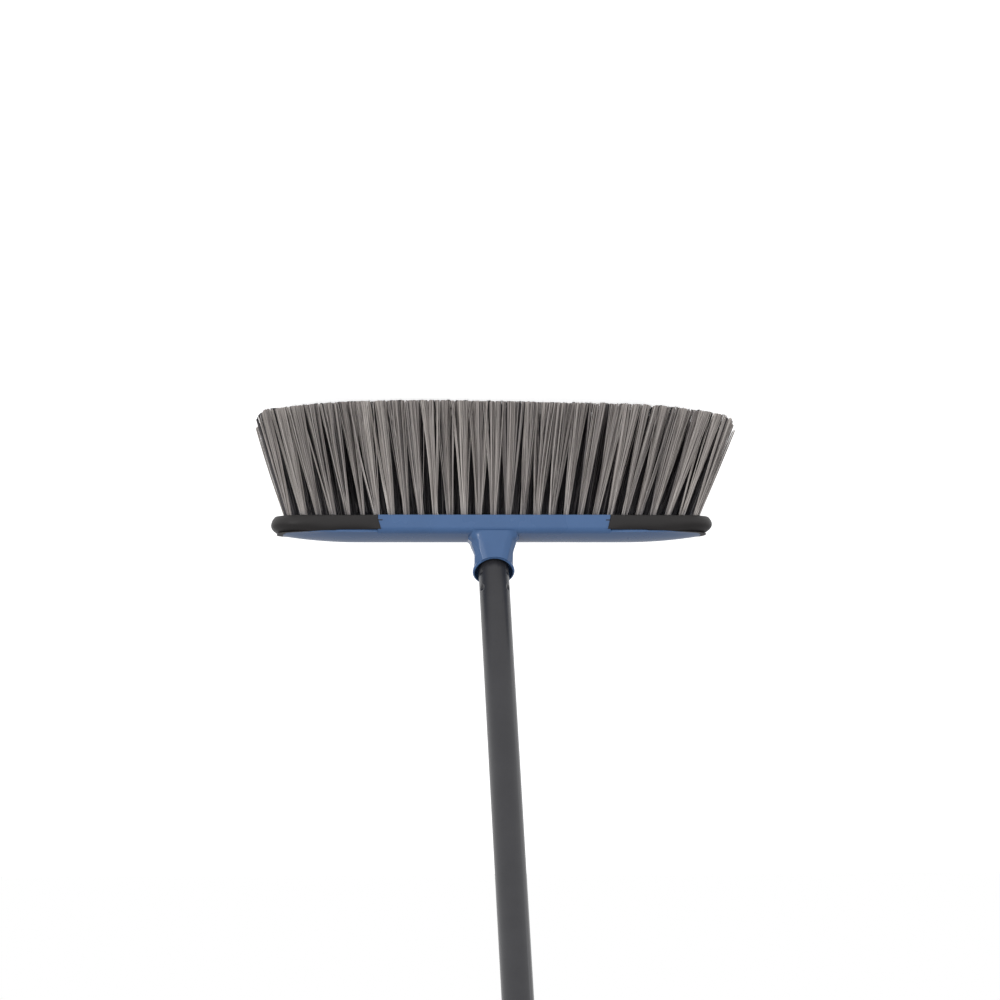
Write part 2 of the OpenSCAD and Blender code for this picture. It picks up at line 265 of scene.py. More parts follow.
def coated_steel():
    """Steel tube in a heat-shrunk grey plastic film: satin, faint orange peel, and a pale painted glint along
    its weld seam.
    """
    made, tree, shader = new_material("film_coated_steel_tube", Specular_IOR_Level=0.35)
    where = node(tree, "ShaderNodeTexCoord").outputs["Object"]
    seam = node(tree, "ShaderNodeAttribute", attribute_name="painted_seam_glint")
    blotch = node(tree, "ShaderNodeTexNoise", [("Vector", where)],
                  sockets={"Scale": 1 / (25 * MM), "Detail": 4.0, "Roughness": 0.6})
    tone = node(tree, "ShaderNodeValToRGB", [("Fac", blotch.outputs["Fac"])])
    tone.color_ramp.elements[0].position, tone.color_ramp.elements[1].position = 0.3, 0.7
    tone.color_ramp.elements[0].color = linear("#2b2b2e")
    tone.color_ramp.elements[1].color = linear("#303033")
    line = node(tree, "ShaderNodeMix", data_type="RGBA")
    tree.links.new(seam.outputs["Fac"], line.inputs["Factor"])
    tree.links.new(tone.outputs["Color"], line.inputs["A"])
    # painted glint: the pale grey that the weld seam's line is mixed to over the film's tone
    line.inputs["B"].default_value = linear("#8d8c92")
    tree.links.new(line.outputs["Result"], shader.inputs["Base Color"])
    peel = node(tree, "ShaderNodeTexNoise", [("Vector", where)],
                sockets={"Scale": 1 / (1.6 * MM), "Detail": 1.0})
    shine = node(tree, "ShaderNodeMapRange", [("Value", blotch.outputs["Fac"])],
                 sockets={"To Min": 0.28, "To Max": 0.36})
    tree.links.new(shine.outputs["Result"], shader.inputs["Roughness"])
    bump = node(tree, "ShaderNodeBump", [("Height", peel.outputs["Fac"])],
                sockets={"Strength": 0.25, "Distance": 0.02 * MM})
    tree.links.new(bump.outputs["Normal"], shader.inputs["Normal"])
    return made


def filament(name, tones, rough):
    """Drawn plastic filament, cut to length: each strand has its own tone, painted shade darkening its root,
    and a duller tip.
    """
    made, tree, shader = new_material(name, IOR=1.5)
    tone = node(tree, "ShaderNodeAttribute", attribute_name="strand_tone")
    along = node(tree, "ShaderNodeAttribute", attribute_name="strand_place")
    ramp = node(tree, "ShaderNodeValToRGB", [("Fac", tone.outputs["Fac"])])
    stops = ramp.color_ramp.elements
    while len(stops) < len(tones):
        stops.new(0.5)
    for stop, (place, code) in zip(stops, tones):
        stop.position, stop.color = place, linear(code)
    # painted shade at the roots: the first tenth of each strand, where it leaves the block, is darkened down
    # to 0.8 of its tone
    shade = node(tree, "ShaderNodeMapRange", [("Value", along.outputs["Fac"])],
                 sockets={"From Min": 0.0, "From Max": 0.1, "To Min": 0.8, "To Max": 1.0})
    mixed = node(tree, "ShaderNodeMix", data_type="RGBA", blend_type="MULTIPLY")
    mixed.inputs["Factor"].default_value = 1.0
    tree.links.new(ramp.outputs["Color"], mixed.inputs["A"])
    tree.links.new(shade.outputs["Result"], mixed.inputs["B"])
    tree.links.new(mixed.outputs["Result"], shader.inputs["Base Color"])
    dull = node(tree, "ShaderNodeMapRange", [("Value", along.outputs["Fac"])],
                sockets={"From Min": 0.8, "From Max": 1.0, "To Min": rough, "To Max": rough + 0.2})
    tree.links.new(dull.outputs["Result"], shader.inputs["Roughness"])
    return made


# polyester filament, grey-beige: most strands pale, some grey, a few nearly black
pale_filament = filament("grey_beige_polyester_filament",
                         [(0.0, "#353234"), (0.25, "#736e6d"), (0.6, "#a8a19d"), (1.0, "#cfc9c3")], 0.42)
# polyester filament, near black, for the three inner rows, so that the gaps between the pale tufts show dark
dark_filament = filament("black_polyester_filament",
                         [(0.0, "#121013"), (0.55, "#242125"), (0.8, "#454143"), (1.0, "#7d7877")], 0.45)


def galvanised_wire():
    """Galvanised steel wire, cut and bent: bright, cool, slightly mottled."""
    made, tree, shader = new_material("galvanised_steel_wire", Metallic=1.0)
    where = node(tree, "ShaderNodeTexCoord").outputs["Object"]
    spangle = node(tree, "ShaderNodeTexNoise", [("Vector", where)], sockets={"Scale": 1 / (1.5 * MM)})
    tone = node(tree, "ShaderNodeValToRGB", [("Fac", spangle.outputs["Fac"])])
    tone.color_ramp.elements[0].color = linear("#9a9c9f")
    tone.color_ramp.elements[1].color = linear("#c9cbcd")
    tree.links.new(tone.outputs["Color"], shader.inputs["Base Color"])
    dull = node(tree, "ShaderNodeMapRange", [("Value", spangle.outputs["Fac"])],
                sockets={"To Min": 0.3, "To Max": 0.5})
    tree.links.new(dull.outputs["Result"], shader.inputs["Roughness"])
    return made


# ---- the blue head ----
def top_height(x, y):
    """How high the head's top is over a place: domed across, and falling towards both ends."""
    dome_r = (HALF_DEPTH**2 + DOME_RISE**2) / (2 * DOME_RISE)
    dome = math.sqrt(max(dome_r**2 - y**2, 0)) - (dome_r - DOME_RISE)
    past = max(abs(x) - (HALF_LEN - END_FALL_LEN), 0)
    fall = END_FALL_R - math.sqrt(END_FALL_R**2 - past**2)
    return EDGE_Z + max(dome - fall, 0.05)


def plan_place(p):
    """Where a point lies in the head's plan: the middle of its corner or side, the way out, how far out."""
    corner = Vector((HALF_LEN - CORNER, HALF_DEPTH - CORNER))
    core = Vector((max(-corner.x, min(corner.x, p.x)), max(-corner.y, min(corner.y, p.y))))
    out = Vector((p.x, p.y)) - core
    return core, out.normalized() if out.length > 0.001 else Vector((0, 0)), out.length


def ease(value, low, high):
    """0 below low, 1 above high, and a smooth step between them."""
    share = min(max((value - low) / (high - low), 0), 1)
    return share * share * (3 - 2 * share)


def bumper_top(x):
    """Height of a bumper's upper edge: a little under the wall's, and meeting it at the head's end."""
    return EDGE_Z - 1.9 * (1 - ease(abs(x), 100, 146))


def bumper_cover(x, z):
    """How far in from the outline a bumper reaches: its wall, and more on top of the head's very end."""
    return BUMPER_WALL + 5.5 * ease(abs(x), 122, 156) * ease(z, EDGE_Z - 6, EDGE_Z)


def tuft_places(row):
    """Where the tufts of a row (-2 at the front to 2) stand, with the leans of each in degrees."""
    count = 29 if row % 2 == 0 else 28
    last = 14.0
    for i in range(count):
        place = i - (count - 1) / 2
        lean = (LEAN_RIGHT if place > 0 else LEAN_LEFT) * place / last
        yield place * TUFT_PITCH, row * ROW_PITCH, lean, row / 2 * SIDE_LEAN


def plain_block():
    """The head's body: a slab with round corners, its top crowned and its long edges rolled over."""
    clear()
    bpy.ops.mesh.primitive_cube_add(size=1, location=(0, 0, (UNDER_Z + EDGE_Z) / 2 * MM))
    block = added("brush_head")
    half_x, half_y = HALF_LEN - SETBACK, HALF_DEPTH - SETBACK
    block.scale = (2 * half_x * MM, 2 * half_y * MM, (EDGE_Z - UNDER_Z) * MM)
    settle(block)
    choose(block, lambda a, b: abs(a.z - b.z) > 1)
    bpy.ops.mesh.bevel(offset=(CORNER - SETBACK) * MM, segments=14, affect="EDGES")
    start = BUMPER_START
    cut(block, 0, [*np.linspace(-155, 155, 63), start + 0.6, start + 1, -start - 0.6, -start - 1])
    cut(block, 1, np.linspace(-24.5, 24.5, 13))
    cut(block, 2, [REBATE_Z])
    done()
    ledge_end, ledge_in = 112, 1.2  # up to here the top keeps a ledge over the bumpers, set in this far
    nose_rounding = 2.4

    def crown_and_rebate(p):
        """Crowns the top, and sets the wall back where a bumper sits on it."""
        core, way, out = plan_place(p)
        if abs(p.x) > REBATE_START:
            if abs(p.z - REBATE_Z) < 0.01:
                p.z = bumper_top(p.x) - REBATE_GAP
            if p.z < EDGE_Z - 0.01 or abs(p.x) > ledge_end:
                out = min(out, CORNER - bumper_cover(p.x, p.z) + REBATE_GAP)
                if p.z < UNDER_Z + 1:
                    out -= nose_rounding * ease(abs(p.x), NOSE_FROM, NOSE_TO)
            else:
                out = min(out, CORNER - ledge_in)
        x, y = core + way * out
        return x, y, top_height(x, y) if p.z > EDGE_Z - 1 else p.z
    reshape(block, crown_and_rebate)

    def rim(a, b):
        on_edge = min(abs(a.y), abs(b.y)) > half_y - 0.01 and min(a.z, b.z) > EDGE_Z - 1
        return on_edge and max(abs(a.x), abs(b.x)) < start + 0.7
    choose(block, rim)
    bpy.ops.mesh.bevel(offset=3.2 * MM, segments=6, affect="EDGES")
    done()
    return block


def neck():
    """The neck that holds the handle: a flat-fronted foot, narrowing to a round waist, then a flared lip."""
    sides, rings = 96, 40
    clear()
    bpy.ops.mesh.primitive_cylinder_add(vertices=sides, radius=MM, depth=MM)
    piece = added("neck")
    settle(piece)
    choose(piece, lambda a, b: abs(a.z - b.z) > 0.5)
    bpy.ops.mesh.subdivide(number_cuts=rings - 1)
    done()
    front_y = -HALF_DEPTH + SETBACK - 0.3
    foot_z, rim_z = EDGE_Z - 0.8, 118.0
    half_w, half_d, mid_y = 18.2, 24.2, -4.6  # of the foot
    corner_power = 8  # how square the foot's corners are
    foot_part = 0.62  # this share of the rings goes from foot to waist, the others on to the mouth
    side_taper = 0.0045  # how much the foot narrows for each mm towards the back
    fillet_w, fillet_h = 2.0, 2.4
    mouth_tilt = 2.6  # the front of the mouth is this much lower than its back
    lip_round, lip_round_h = 0.7, 0.9

    def waist_ring(angle, s, radius):
        return ALONG @ Vector((radius * math.sin(angle) * MM, -radius * math.cos(angle) * MM, s * MM)) / MM

    def foot_ring(angle):
        """A rounded oblong, flat along the front."""
        sx, cy = math.sin(angle), math.cos(angle)
        scale = (abs(sx) ** corner_power + abs(cy) ** corner_power) ** (-1 / corner_power)
        return Vector((half_w * sx * scale, max(mid_y - half_d * cy * scale, front_y), foot_z))

    def flat_front(spot):
        """The pressed-flat front: a panel that narrows upwards, with a slim chamfer down each side."""
        rise = (spot.z - foot_z) / (rim_z - foot_z)
        panel = 10.4 - 5.8 * rise
        edge = 14.2 - 5.2 * rise
        plane = front_y + 0.2 * rise
        side = abs(spot.x)
        spot.y = min(spot.y, plane + 0.3 * max(0, side - panel) + 1.3 * max(0, side - edge))
        return spot

    def rule(p):
        angle, t = math.atan2(p.x, -p.y), p.z + 0.5
        front = math.cos(angle) > 0
        if t <= foot_part:  # hollow-sided
            share = t / foot_part
            low, high = foot_ring(angle), waist_ring(angle, WAIST_S, WAIST_D / 2)
            spot = low.lerp(high, share)
            spot.x = low.x + (high.x - low.x) * ease(share, 0.2, 0.76)
            if not front:
                spot.y = low.y + (high.y - low.y) * ease(share, 0.0, 0.85)
            spot.x *= 1 - side_taper * max(0, spot.y - front_y) * (1 - ease(share, 0.1, 0.75))
            low_by = (top_height(spot.x, spot.y) + fillet_h - spot.z) / fillet_h
            fillet = fillet_w * min(max(low_by, 0), 1) ** 2 * ease(-math.cos(angle), -0.5, 0.0)
            way = Vector((spot.x, spot.y - mid_y)).normalized()
            spot.x, spot.y = spot.x + way.x * fillet, spot.y + way.y * fillet
            return flat_front(spot) if front else spot
        share = (t - foot_part) / (1 - foot_part)
        mouth = MOUTH_S - mouth_tilt * max(0, math.cos(angle)) ** 2
        s = WAIST_S + (mouth - WAIST_S) * min(share * 1.02, 1)
        flare = min(max((s - WAIST_S) / (LIP_S - WAIST_S), 0), 1)
        radius = WAIST_D / 2 + (MOUTH_D - WAIST_D) / 2 * flare**1.5
        radius -= lip_round * max(0, (s - mouth + lip_round_h) / lip_round_h) ** 2
        spot = waist_ring(angle, s, radius)
        return flat_front(spot) if front and s < mouth - 0.6 else spot

    reshape(piece, rule)
    return piece


def socket():
    """What is taken out of the neck: the mouth's hollow and the threaded bore, with its thread ridges."""
    bore, groove = 9.0, 10.5
    hollow = [(0, 6), (bore, 6)]
    for turn in range(4):
        start = 7.5 + turn * THREAD_PITCH
        hollow += [(bore, start), (groove, start + 1.2), (groove, start + 2.6), (bore, start + 3.8)]
    hollow += [(bore, 26), (12.2, 26), (13.9, 31.5), (14.2, 45), (0, 45)]
    return turned("socket", hollow, 96)


def tuft_bores():
    """The drilled holes for all tufts, as one tool."""
    clear()
    tools = []
    for row in range(-2, 3):
        for x, y, lean, side in tuft_places(row):
            bpy.ops.mesh.primitive_cylinder_add(vertices=20, radius=HOLE_D / 2 * MM, depth=14 * MM)
            tool = bpy.context.view_layer.objects.active
            turn = Matrix.Rotation(math.radians(side), 4, "X") @ Matrix.Rotation(-math.radians(lean), 4, "Y")
            tool.data.transform(Matrix.Translation(Vector((x, y, UNDER_Z)) * MM) @ turn)
            tools.append(tool)
    clear()
    for tool in tools:
        tool.select_set(True)
    bpy.context.view_layer.objects.active = tools[0]
    bpy.ops.object.join()
    return tools[0]


def make_head():
    """Block and neck as one moulding, then the threaded socket and the tufts' holes taken out of it."""
    block = plain_block()
    join_solid(block, neck())
    hollow = socket()
    settle(hollow, ALONG)
    join_solid(block, hollow, "DIFFERENCE")
    join_solid(block, tuft_bores(), "DIFFERENCE")
    smooth(block, 32)
    hand_in(block, blue_polypropylene, "head", "blue_block", "brush_block")


# ---- bumpers ----
def make_bumper(side, name, node_name):
    """A soft bumper: its rounded section is drawn at one long side, then run round the head's end."""
    wall = EDGE_Z - UNDER_Z
    start = BUMPER_START
    corner_x, corner_y = HALF_LEN - CORNER, HALF_DEPTH - CORNER
    outline = [(0.0, 0.0)]
    steps = 18
    for i in range(steps + 1):  # the bulging outer face, from the bristle side to the top
        angle = math.pi * (i / steps - 0.5)
        reach = abs(math.cos(angle)) ** 0.7
        outline.append((1.7 + 1.3 * reach, wall / 2 + (wall / 2) * math.sin(angle)))
    outline += [(1.4, wall + 0.1), (0.7, wall + 0.3), (0.0, wall + 0.4)]
    mesh = bpy.data.meshes.new(name)
    points = [(start * MM, -(HALF_DEPTH - BUMPER_WALL + out) * MM, (UNDER_Z + up) * MM)
              for out, up in outline]
    mesh.from_pydata(points, [], [list(range(len(points)))])
    piece = bpy.data.objects.new(name, mesh)
    bpy.context.scene.collection.objects.link(piece)
    pick(piece)
    bpy.ops.object.mode_set(mode="EDIT")
    bpy.ops.mesh.select_all(action="SELECT")

    def run(dx, dy, count):
        for _ in range(count):
            step = (dx / count * MM, dy / count * MM, 0)
            bpy.ops.mesh.extrude_region_move(TRANSFORM_OT_translate={"value": step})

    def bend(x, y):
        bpy.ops.mesh.spin(steps=14, angle=-math.pi / 2, center=(x * MM, y * MM, 0), axis=(0, 0, 1))

    run(corner_x - start, 0, 12)
    bend(corner_x, -corner_y)
    run(0, 2 * corner_y, 4)
    bend(corner_x, corner_y)
    run(start - corner_x, 0, 12)
    bpy.ops.mesh.select_all(action="SELECT")
    bpy.ops.mesh.remove_doubles(threshold=1e-6)
    bpy.ops.mesh.normals_make_consistent(inside=False)
    done()

    def key(p):
        """Rounds the end into a full nose over the blue top, and leans the inner ends."""
        share = (p.z - UNDER_Z) / wall
        core, way, out = plan_place(p)
        nose = ease(p.x, NOSE_FROM, NOSE_TO)
        inner = out < CORNER - BUMPER_WALL + 0.01
        depth = (out - CORNER + BUMPER_WALL) / BUMPER_WALL
        z = p.z
        if inner and share > 0.5:
            out -= bumper_cover(p.x, p.z) - BUMPER_WALL
        else:
            low, high = max(0, 0.4 - share) / 0.4, max(0, share - 0.4) / 0.6
            out -= nose * depth * (2.4 * low**2 + 7.0 * high**2.4)
            out -= (1 - nose) * depth * (0.8 * low**3 + 0.8 * high**4)
        near = max(0, 1 - (p.x - start) / 12)
        if depth > 0.5:  # its inner end stands proud of the wall over its whole height
            out += (CORNER - 0.05 - out) * near
        x, y = core + way * out
        if share > 0.97:
            z = max(top_height(x, y) + 0.12 - 0.5 * depth, EDGE_Z - 0.5 * nose)
        if nose < 1:
            top = bumper_top(p.x)
            z = UNDER_Z + (z - UNDER_Z) * (top - UNDER_Z) / (EDGE_Z - UNDER_Z)
        lean = 1.0 - 2.4 * max(0, share - 0.35) / 0.65
        return (x + near * lean, y, z)
    reshape(piece, key)
    for way in (-1, 1):  # the small tongue of each end
        clear()
        spot = (start - 0.6, way * (HALF_DEPTH - 1.3), UNDER_Z + 3.8)
        bpy.ops.mesh.primitive_cube_add(size=MM, location=Vector(spot) * MM)
        tongue = added("tongue")
        tongue.scale = (4.2, 1.9, 0.9)
        settle(tongue)
        modify(tongue, "BEVEL", width=0.3 * MM, segments=2)
        join_solid(piece, tongue)
    if side < 0:
        pick(piece)
        piece.scale.x = -1
        settle(piece)
        pick(piece)
        bpy.ops.object.mode_set(mode="EDIT")
        bpy.ops.mesh.select_all(action="SELECT")
        bpy.ops.mesh.normals_make_consistent(inside=False)
        done()
    smooth(piece, 40)
    hand_in(piece, charcoal_rubber, "head", "soft_bumper", node_name)


# ---- bristles ----
STRAND_R = 0.25
STRAND_STEPS = 6
LOCKS = 8
GOLDEN_ANGLE = 2.39996  # spreads the locks evenly over a disc
FOOT_R = 2.2  # the strands leave their hole within this radius
TIP_REACH, END_REACH = 9, 4.5  # how far along the head a tip may stray, and outwards at the ends
END_X = 140  # tufts past here are at the ends
FOOT_SPREAD, TIP_SPREAD = 1.7, (7.2, 4.4)  # how far a tuft's locks stand apart, at the hole and at the tips
STRAY_LOCKS, STRAY_STRANDS = 0.15, 0.07  # the shares of them that stray from the others
OUTER_RISE = 3.0  # the outer rows lean out, so they end this much higher than the middle one


def one_strand():
    """One straight strand: a three-sided rod of unit height, cut into short lengths so that it can bend."""
    clear()
    bpy.ops.mesh.primitive_cylinder_add(vertices=3, radius=1, depth=1, location=(0, 0, 0.5))
    strand = added("strand")
    settle(strand)
    choose(strand, lambda a, b: abs(a.z - b.z) > 1)
    bpy.ops.mesh.subdivide(number_cuts=STRAND_STEPS - 1)
    done()
    corners = np.array([v.co for v in strand.data.vertices])
    faces = [list(f.vertices) for f in strand.data.polygons]
    bpy.data.objects.remove(strand)
    return corners, faces


def cut_height(x):
    """How high above the floor the strands end: nearly flat in the middle, rising towards both ends."""
    if x < 30:
        return 0.0175 * (30 - x) + 0.0011 * max(-x - 95, 0) ** 2 + 0.06 * max(-x - 172, 0) ** 2
    return 0.0006 * max(x - 60, 0) ** 2 + 0.06 * max(x - 166, 0) ** 2


def make_row(row, name, strands, material, slot, seed):
    """All strands of one row: they leave each hole in a bundle, fan out, cross and end at the trim."""
    rng = np.random.default_rng(seed)
    corners, faces = one_strand()
    spots, tones, places = [], [], []
    for x0, y0, lean, side in tuft_places(row):
        tilt = np.array([math.tan(math.radians(lean)), math.tan(math.radians(side))])
        tuft_tone = rng.normal(0, 0.05)
        drift = rng.normal(0, 0.9, 2) * (1, 0.6)
        locks = []
        for k in range(LOCKS):  # the strands of a tuft cling together in a few locks
            r, a = math.sqrt((k + 0.5) / LOCKS), k * GOLDEN_ANGLE + rng.random()
            disc = np.array([math.cos(a), math.sin(a)]) * r
            wild = rng.normal(0, 2.2, 2) * (rng.random() < STRAY_LOCKS)
            locks.append((disc * FOOT_SPREAD, disc * TIP_SPREAD + rng.normal(0, 0.9, 2) + drift + wild,
                          rng.normal(0, 0.6, 2), rng.normal(0, 0.08)))
        for k in range(strands):
            foot, head, lock_bow, lock_tone = locks[k % LOCKS]
            base = foot + rng.normal(0, 0.42, 2)
            base *= min(1, FOOT_R / max(np.linalg.norm(base), 0.01))
            tip = head + rng.normal(0, 0.95, 2)
            if rng.random() < STRAY_STRANDS:
                tip += rng.normal(0, 3.2, 2)
            tip[0] = max(-END_REACH if x0 < -END_X else -TIP_REACH,
                         min(END_REACH if x0 > END_X else TIP_REACH, tip[0]))
            bow = lock_bow + rng.normal(0, 0.25, 2)
            high = UNDER_Z + 3
            tip_x = x0 + tilt[0] * UNDER_Z + tip[0]
            low = cut_height(tip_x) + OUTER_RISE * (row / 2) ** 2 + abs(rng.normal(0, 0.25))
            t = corners[:, 2]  # 0 at the hole, 1 at the tip
            drop = high + (low - high) * t
            out = (UNDER_Z - drop) / UNDER_Z
            spread = np.clip(out, 0, 1) ** 0.9
            swell = np.sin(np.pi * np.clip(out, 0, 1))
            turn = rng.random() * 6.28  # about a full circle
            spin_c, spin_s = math.cos(turn), math.sin(turn)
            thick = STRAND_R * (1 - 0.25 * t) * rng.uniform(0.85, 1.15)
            wide = np.stack([corners[:, 0] * spin_c - corners[:, 1] * spin_s,
                             corners[:, 0] * spin_s + corners[:, 1] * spin_c], 1) * thick[:, None]
            line = (np.array([x0, y0]) + base + np.outer(out * UNDER_Z, tilt)
                    + np.outer(spread, tip - base) + np.outer(swell, bow))
            spots.append(np.column_stack([line + wide, drop]))
            tones.append(np.full(len(t), np.clip(rng.beta(2.2, 1.8) + tuft_tone + lock_tone, 0, 1)))
            places.append(t)
    count, each = len(spots), len(corners)
    mesh = bpy.data.meshes.new(name)
    everything = np.concatenate(spots) * MM
    all_faces = [[v + i * each for v in reversed(f)] for i in range(count) for f in faces]
    mesh.from_pydata(everything.tolist(), [], all_faces)
    for label, values in (("strand_tone", tones), ("strand_place", places)):
        mark = mesh.attributes.new(label, "FLOAT", "POINT")
        mark.data.foreach_set("value", np.concatenate(values).astype(np.float32))
    piece = bpy.data.objects.new(name, mesh)
    bpy.context.scene.collection.objects.link(piece)
    smooth(piece, 70)
    hand_in(piece, material, "head", slot, "tufts_" + ROWS[row + 2])


# ---- handle ----
def dimple_spots():
    """Six pressed dimples that hold the threaded insert: two rings of three."""
    for s in (TUBE_S + DIMPLE_START, TUBE_S + DIMPLE_START + DIMPLE_STEP):
        for degrees in (-30, 90, 210):
            angle = math.radians(degrees)
            way = Vector((math.cos(angle), math.sin(angle), 0))
            yield way * (TUBE_D / 2 + BALL_R - DIMPLE_DEPTH) + Vector((0, 0, s))


def make_tube():
    """The coated tube, open at both ends: its pressed dimples, and a pale painted glint along its weld seam.
    """
    clear()
    bpy.ops.mesh.primitive_cylinder_add(vertices=120, radius=TUBE_D / 2 * MM, depth=TUBE_LEN * MM,
                                        location=(0, 0, (TUBE_S + TUBE_LEN / 2) * MM),
                                        end_fill_type="NOTHING")
    tube = added("coated_tube")
    settle(tube)
    pick(tube)
    bpy.ops.object.mode_set(mode="EDIT")
    cut(tube, 2, [TUBE_S + 0.5])
    cut(tube, 2, np.arange(TUBE_S + 4.5, TUBE_S + 28.5, 0.5))
    cut(tube, 2, np.arange(TUBE_S + 100, TUBE_S + TUBE_LEN - 50, 100))
    done()
    balls = list(dimple_spots())

    def press(p):
        """Pushes the wall in where a ball-ended punch has met it, with a soft shoulder round it."""
        out = Vector((p.x, p.y, 0)).normalized()
        radius = TUBE_D / 2
        for ball in balls:
            off = (p - ball).length
            if off < 4.2:
                axis_gap = (p - ball).cross(out).length
                share = min(axis_gap / 2.9, 1)
                deep = DIMPLE_DEPTH * math.cos(share * math.pi / 2) ** 1.3
                radius = min(radius, TUBE_D / 2 - deep)
        return (out.x * radius, out.y * radius, p.z)
    reshape(tube, press)
    modify(tube, "SOLIDIFY", thickness=TUBE_WALL * MM, offset=-1)
    # painted glint along the weld seam: a line 3 degrees wide, faint up to 300 mm along the tube and at full
    # strength from 700 mm on
    mark = tube.data.attributes.new("painted_seam_glint", "FLOAT", "POINT")
    seam = math.radians(-90 - 47)
    values = []
    for v in tube.data.vertices:
        off = abs((math.atan2(v.co.y, v.co.x) - seam + math.pi) % (2 * math.pi) - math.pi)
        values.append(max(0, 1 - off / math.radians(3)) * (0.1 + 0.9 * ease(v.co.z / MM, 300, 700)))
    mark.data.foreach_set("value", values)
    settle(tube, ALONG)
    smooth(tube, 40)
    hand_in(tube, coated_steel(), "handle", "coated_tube", "handle_tube")


def make_insert():
    """The black threaded insert: plug, shoulder and a coarse round-edged screw."""
    root, crest = 8.7, 10.2  # radii of the screw
    thread_start, thread_steps = 9.5, 48
    plug_r = TUBE_D / 2 - TUBE_WALL - PLUG_GAP
    profile = [(0, 6.3), (root - 0.8, 6.3), (root, 7.1), (root, 26.3), (10.6, 26.3), (11, 26.7), (11, TUBE_S),
               (plug_r, TUBE_S), (plug_r, 68.3), (plug_r - 0.8, 69.1), (0, 69.1)]
    piece = turned("thread_insert_smooth", profile, 72)
    balls = [ball - Vector((ball.x, ball.y, 0)).normalized() * 0.7 for ball in dimple_spots()]
    clear()
    for ball in balls:
        bpy.ops.mesh.primitive_uv_sphere_add(segments=24, ring_count=16, radius=BALL_R * MM,
                                             location=ball * MM)
        tool = added("punch")
        settle(tool)
        join_solid(piece, tool, "DIFFERENCE")
    mesh = bpy.data.meshes.new("thread")
    outline = [(root - 0.5, -1.35), (crest - 0.35, -0.62), (crest, -0.3), (crest, 0.3), (crest - 0.35, 0.62),
               (root - 0.5, 1.35)]
    points = [(r * MM, 0, (thread_start + s) * MM) for r, s in outline]
    mesh.from_pydata(points, [(i, (i + 1) % len(points)) for i in range(len(points))], [])
    ridge = bpy.data.objects.new("thread", mesh)
    bpy.context.scene.collection.objects.link(ridge)
    turns = (WAIST_S - thread_start) / THREAD_PITCH - 0.7
    pick(ridge)
    bpy.ops.object.mode_set(mode="EDIT")
    bpy.ops.mesh.select_all(action="SELECT")
    bpy.ops.mesh.edge_face_add()
    bpy.ops.mesh.select_all(action="SELECT")
    steps = int(turns * thread_steps)
    rise = turns * THREAD_PITCH / steps * MM
    for i in range(steps):
        bpy.ops.mesh.extrude_region_move(TRANSFORM_OT_translate={"value": (0, 0, rise)})
        bpy.ops.transform.rotate(value=-2 * math.pi * turns / steps, orient_axis="Z",
                                 center_override=(0, 0, 0))
    bpy.ops.mesh.select_all(action="SELECT")
    bpy.ops.mesh.normals_make_consistent(inside=False)
    done()
    join_solid(piece, ridge)
    settle(piece, ALONG)
    smooth(piece, 35)
    hand_in(piece, black_polypropylene, "handle", "black_plastic", "thread_insert")


def make_end_plug():
    """The plug in the tube's upper end: a cap, and a headed spigot that the loop turns on."""
    end, r = TUBE_S + TUBE_LEN, TUBE_D / 2 - TUBE_WALL - PLUG_GAP
    profile = [(0, end - 30), (r - 1, end - 30), (r, end - 29), (r, end), (10.7, end), (11, end + 0.3),
               (11, end + 2.2), (10.2, end + 3), (4, end + 3), (4, end + 8.6), (5.3, end + 8.6),
               (5.5, end + 8.8), (5.5, end + 9.2), (3.3, end + 11), (0, end + 11.1)]
    piece = turned("end_plug_smooth", profile)
    settle(piece, ALONG)
    smooth(piece, 35)
    hand_in(piece, black_polypropylene, "handle", "black_plastic", "end_plug")


def make_hang_loop():
    """The turning loop at the handle's end: a round collar, a flat eye and a window over the plug's head."""
    # places along the handle: the collar's foot, the window's sill, the middle of the eye
    low, window, eye = 1232.4, 1237.4, 1255.4
    radius, thick = 11, 9
    clear()
    bpy.ops.mesh.primitive_cylinder_add(vertices=96, radius=radius * MM, depth=5 * MM,
                                        location=(0, 0, (low + 2.5) * MM))
    loop = added("hang_loop_smooth")
    settle(loop)

    def box(name, size, middle):
        clear()
        bpy.ops.mesh.primitive_cube_add(size=MM, location=Vector(middle) * MM)
        made = added(name)
        made.scale = size
        settle(made)
        return made

    def rod(name, rod_r, length, middle, across=False):
        clear()
        turn = (math.pi / 2, 0, 0) if across else (0, 0, 0)
        bpy.ops.mesh.primitive_cylinder_add(vertices=96, radius=rod_r * MM, depth=length * MM,
                                            location=Vector(middle) * MM, rotation=turn)
        made = added(name)
        settle(made)
        return made

    join_solid(loop, box("strap", (2 * radius, thick, eye - low), (0, 0, (eye + low) / 2)))
    join_solid(loop, rod("eye", radius, thick, (0, 0, eye), True))
    join_solid(loop, box("window", (13, 30, 8), (0, 0, window + 4)), "DIFFERENCE")
    join_solid(loop, rod("eye_hole", 5, 30, (0, 0, eye), True), "DIFFERENCE")
    join_solid(loop, rod("spigot_hole", 4.08, 12, (0, 0, low + 2.5)), "DIFFERENCE")
    modify(loop, "BEVEL", width=0.7 * MM, segments=3, limit_method="ANGLE", angle_limit=math.radians(40))
    settle(loop, ALONG)
    smooth(loop, 35)
    hand_in(loop, black_polypropylene, "loop", "black_plastic", "hang_loop")


